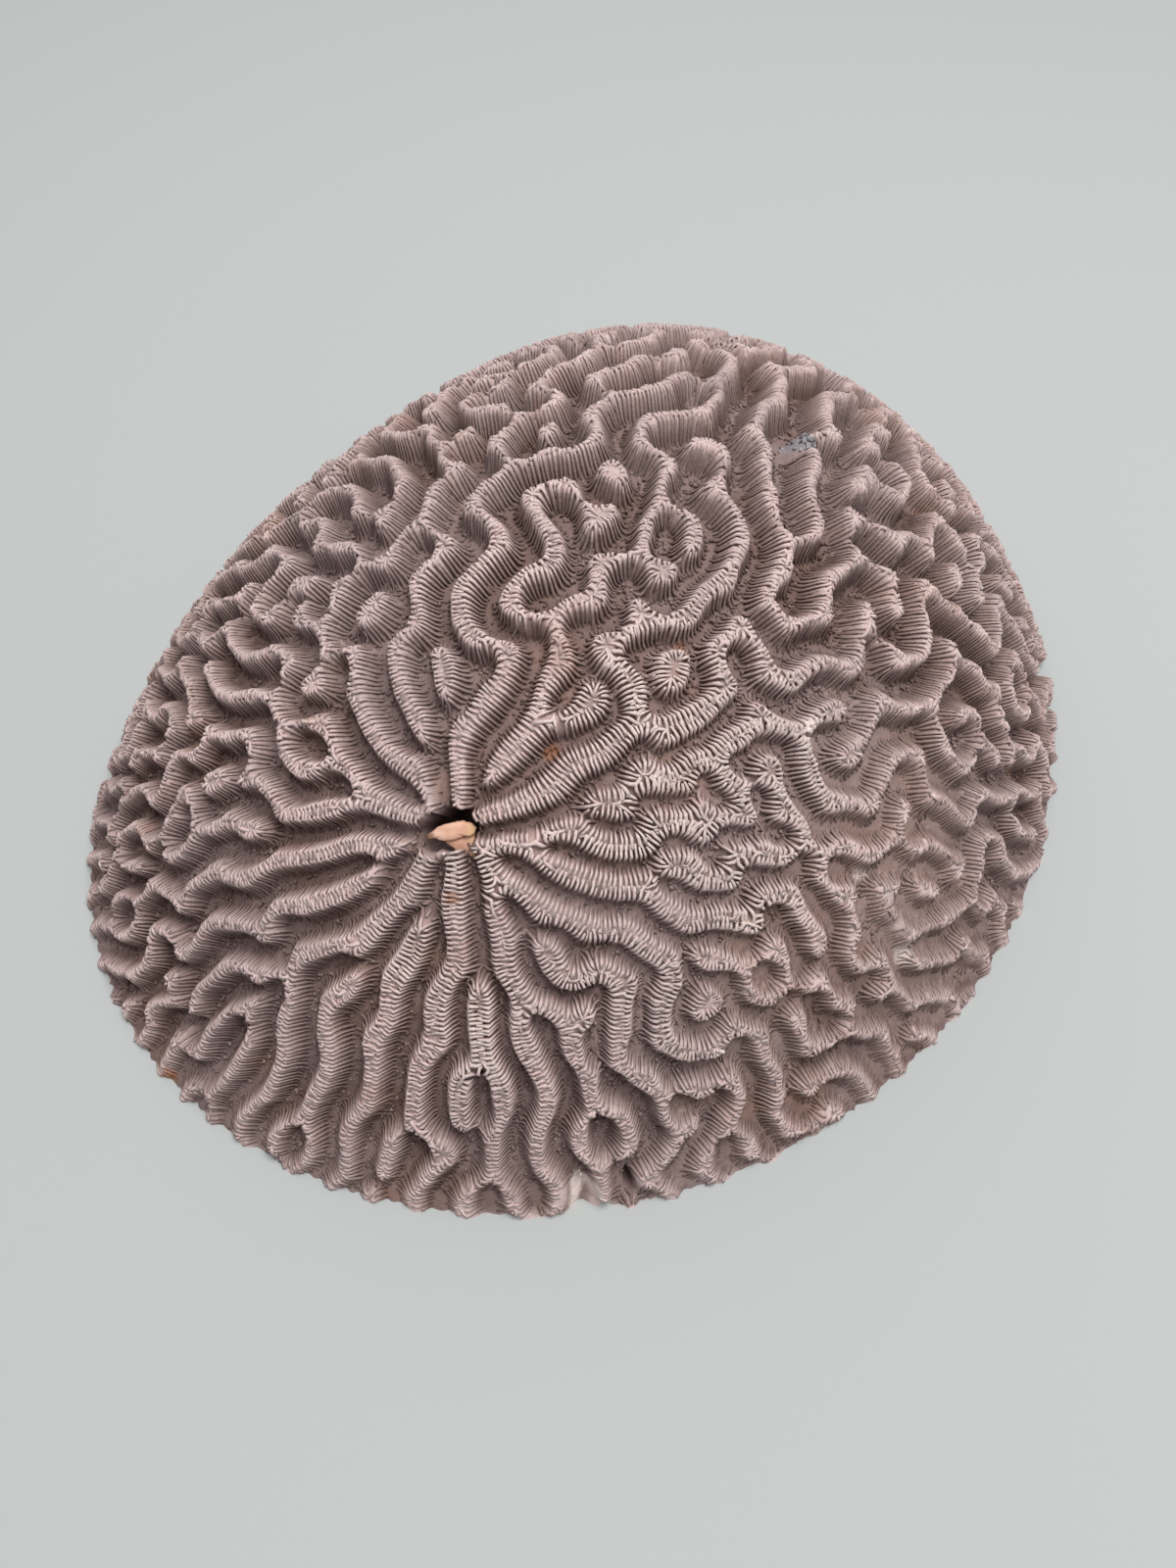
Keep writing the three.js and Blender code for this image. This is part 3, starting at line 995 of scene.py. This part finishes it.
def flake_mesh():
    """Two leaves of shell, one over the other, in the plane of the pit's slope."""
    place = np.array(PIT)[:, None]
    out = skin_normal(*place)[0]
    across = unit(np.array([1.0, 0, 0]) - out * out[0])
    up = np.cross(out, across)
    centre = skin(*place)[0] - FLAKE_LEFT * across
    stacks, quads, caps, total = [], [], [], 0
    for shape in LEAVES:
        points, sides, ends = leaf(*shape)
        quads.append(sides + total)
        caps.append(ends + total)
        stacks.append(points)
        total += len(points)
    flat = np.concatenate(stacks)
    points = centre + flat[:, :1] * across + flat[:, 1:2] * up + flat[:, 2:] * out
    u, v = flat[:, 0], flat[:, 1]
    values = {
        "tip": smoothstep(2.0, 4.4, u),
        "stain": spot(u, v, -3.6, -0.9, 0.8) + 0.6 * spot(u, v, 2.4, -1.2, 0.7),
        "edge": smoothstep(0.5, 0.0, inside(UPPER_LEAF, u, v)),
    }
    maps = np.stack([u, v], -1) / 12 + 0.5
    return make_mesh("flake_of_shell", points, [np.concatenate(quads), np.concatenate(caps)], values, maps)


# ---- materials


class Nodes:
    """Short ways to build a material's node tree."""

    def __init__(self, name):
        self.material = bpy.data.materials.new(name)
        self.material.use_nodes = True
        self.tree = self.material.node_tree
        self.shader = self.tree.nodes["Principled BSDF"]

    def new(self, kind, **inputs):
        node = self.tree.nodes.new(kind)
        for key, value in inputs.items():
            self.put(node.inputs[key.replace("_", " ")], value)
        return node

    def put(self, socket, value):
        if isinstance(value, bpy.types.NodeSocket):
            self.tree.links.new(value, socket)
        else:
            socket.default_value = value

    def value(self, name):
        node = self.new("ShaderNodeAttribute")
        node.attribute_name = name
        return node.outputs["Fac"]

    def noise(self, scale, detail=4.0, rough=0.55):
        place = self.new("ShaderNodeTexCoord").outputs["Object"]
        node = self.new("ShaderNodeTexNoise", Vector=place, Scale=scale, Detail=detail, Roughness=rough)
        return node.outputs["Fac"]

    def ramp(self, value, low, high, to_low=0.0, to_high=1.0):
        node = self.new("ShaderNodeMapRange", Value=value)
        node.interpolation_type = "SMOOTHSTEP"
        for key, number in (("From Min", low), ("From Max", high), ("To Min", to_low), ("To Max", to_high)):
            node.inputs[key].default_value = number
        return node.outputs["Result"]

    def times(self, a, b):
        node = self.new("ShaderNodeMath")
        node.operation = "MULTIPLY"
        self.put(node.inputs[0], a)
        self.put(node.inputs[1], b)
        return node.outputs[0]

    def mix(self, share, a, b):
        node = self.new("ShaderNodeMix")
        node.data_type = "RGBA"
        self.put(node.inputs[0], share)
        self.put(node.inputs[6], a)
        self.put(node.inputs[7], b)
        return node.outputs[2]

    def bump(self, height, distance, strength):
        node = self.new("ShaderNodeBump", Height=height, Distance=distance, Strength=strength)
        self.put(self.shader.inputs["Normal"], node.outputs["Normal"])


def shade(red, green, blue):
    """A colour given as screen values from 0 to 255."""

    def linear(v):
        v = v / 255
        return v / 12.92 if v <= 0.04045 else ((v + 0.055) / 1.055) ** 2.4

    return (linear(red), linear(green), linear(blue), 1)


# The coral's colours, from the bare and highlighted crests down to the valleys, then its marks, the shell and
# the floor. The crests' paleness is partly bare skeleton and partly painted highlight; the valleys' darkness
# is partly their own browner colour and partly painted shade.
PALEST = shade(236, 222, 214)
BARE_AND_HIGHLIGHT = shade(230, 211, 202)
CREST = shade(218, 191, 187)
FLANK = shade(160, 133, 127)
VALLEY = shade(104, 80, 73)
STAIN = shade(176, 134, 106)
DUST = shade(168, 150, 150)
WORN = shade(166, 140, 130)
WHITE = shade(248, 231, 223)
RUST = shade(170, 108, 62)
CRYSTAL = shade(112, 113, 118)
GLINT = shade(206, 206, 212)
PIT_SHADE = shade(62, 46, 40)
CUT_FACE = shade(196, 178, 168)
SHELL = shade(208, 158, 130)
SHELL_PALE = shade(220, 178, 156)
SHELL_TIP = shade(214, 176, 122)
SHELL_EDGE = shade(176, 120, 88)
SHELL_STAIN = shade(122, 78, 52)
FLOOR = shade(168, 170, 168)


def coral_material():
    n = Nodes("coral_skeleton")
    relief, tone = n.value("relief"), n.value("tone")
    grain = n.noise(1700, 4, 0.7)
    # Darker with depth below the crests: partly the valleys' own browner colour, partly painted shade; the
    # topmost edges get a painted highlight.
    colour = n.mix(n.ramp(relief, 0.0, 0.62), VALLEY, FLANK)
    colour = n.mix(n.ramp(relief, 0.55, 1.0), colour, CREST)
    colour = n.mix(n.ramp(relief, 0.97, 1.27, 0, 0.85), colour, BARE_AND_HIGHLIGHT)
    colour = n.mix(n.ramp(n.noise(55, 4, 0.6), 0.56, 0.76, 0, 0.4), colour, STAIN)
    colour = n.mix(n.ramp(n.noise(38, 3), 0.35, 0.65, 0.0, 0.35), colour, DUST)
    lighter = n.times(n.ramp(tone, 0, 1, 0.0, 0.2), n.ramp(relief, 0.1, 0.8, 0.25, 1))
    colour = n.mix(lighter, colour, PALEST)
    rubbed = n.times(n.ramp(n.value("worn"), 0.2, 1, 0.0, 0.45), n.ramp(relief, 0.8, 1.1, 1, 0.1))
    colour = n.mix(rubbed, colour, WORN)
    colour = n.mix(n.times(n.value("rusty"), 0.6), colour, RUST)
    colour = n.mix(n.times(n.value("pale"), 0.65), colour, WHITE)
    crystal = n.mix(n.ramp(tone, 0.3, 1), CRYSTAL, GLINT)
    colour = n.mix(n.times(n.value("crystal"), 0.85), colour, crystal)
    sawn = n.mix(n.ramp(n.noise(620, 6, 0.7), 0.3, 0.75), CUT_FACE, FLANK)
    colour = n.mix(n.value("cut"), colour, sawn)
    # Painted shade darkens the pit and the bores.
    colour = n.mix(n.times(n.value("painted_hole_shade"), 0.9), colour, PIT_SHADE)
    colour = n.mix(n.ramp(grain, 0.3, 0.7, 0.3, 0.0), colour, VALLEY)
    n.put(n.shader.inputs["Base Color"], colour)
    n.shader.inputs["Roughness"].default_value = 0.92
    n.shader.inputs["Specular IOR Level"].default_value = 0.2
    n.bump(grain, 0.0004, 0.7)
    return n.material


def shell_material():
    n = Nodes("old_shell")
    colour = n.mix(n.ramp(n.noise(260, 3), 0.35, 0.65), SHELL, SHELL_PALE)
    colour = n.mix(n.ramp(n.value("tip"), 0, 1, 0, 0.6), colour, SHELL_TIP)
    colour = n.mix(n.ramp(n.value("edge"), 0.4, 1, 0, 0.35), colour, SHELL_EDGE)
    colour = n.mix(n.ramp(n.value("stain"), 0.3, 1, 0, 0.8), colour, SHELL_STAIN)
    n.put(n.shader.inputs["Base Color"], colour)
    n.shader.inputs["Roughness"].default_value = 0.55
    n.bump(n.noise(900, 3), 0.0002, 0.5)
    return n.material


# ---- stage, light and camera


def stage():
    bpy.ops.mesh.primitive_plane_add(size=FLOOR_SIZE)
    floor = bpy.context.object
    floor.name = "floor"
    n = Nodes("pale_floor")
    n.shader.inputs["Base Color"].default_value = FLOOR
    n.shader.inputs["Roughness"].default_value = 0.8
    floor.data.materials.append(n.material)


def area_light(name, place, target, size, power):
    light = bpy.data.lights.new(name, "AREA")
    light.shape = "DISK"
    light.size = size
    light.energy = power
    thing = bpy.data.objects.new(name, light)
    thing.location = place
    aim(thing, target)
    bpy.context.scene.collection.objects.link(thing)


def aim(thing, target):
    direction = Vector(target) - thing.location
    thing.rotation_euler = direction.to_track_quat("-Z", "Y").to_euler()


def lights():
    area_light("key", **KEY_LIGHT)
    area_light("fill", **FILL_LIGHT)
    world = bpy.data.worlds.new("soft_sky")
    world.use_nodes = True
    world.node_tree.nodes["Background"].inputs["Color"].default_value = SKY_COLOUR
    world.node_tree.nodes["Background"].inputs["Strength"].default_value = SKY_STRENGTH
    bpy.context.scene.world = world


def camera():
    data = bpy.data.cameras.new("camera")
    data.lens = CAMERA_LENS
    data.sensor_width = 36
    data.clip_start = 0.01
    thing = bpy.data.objects.new("camera", data)
    target = Vector(CAMERA_TARGET) * MM
    back = Vector((0, -math.cos(CAMERA_ELEVATION), math.sin(CAMERA_ELEVATION)))
    thing.location = target + back * CAMERA_DISTANCE * MM
    aim(thing, target)
    bpy.context.scene.collection.objects.link(thing)
    bpy.context.scene.camera = thing


# ---- putting it together

rng = np.random.default_rng(7)
ridges = Ridges()
coral = coral_material()
body = body_mesh(ridges)
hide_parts("coral_colony")
for piece in [body, *septa_meshes(ridges, rng), crumbs(ridges, rng)]:
    piece.data.materials.append(coral)
    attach(piece, "root")
flake = flake_mesh()
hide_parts("shell_flake")
flake.data.materials.append(shell_material())
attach(flake, "root")
stage()
lights()
camera()
bpy.context.scene.view_settings.view_transform = "Standard"
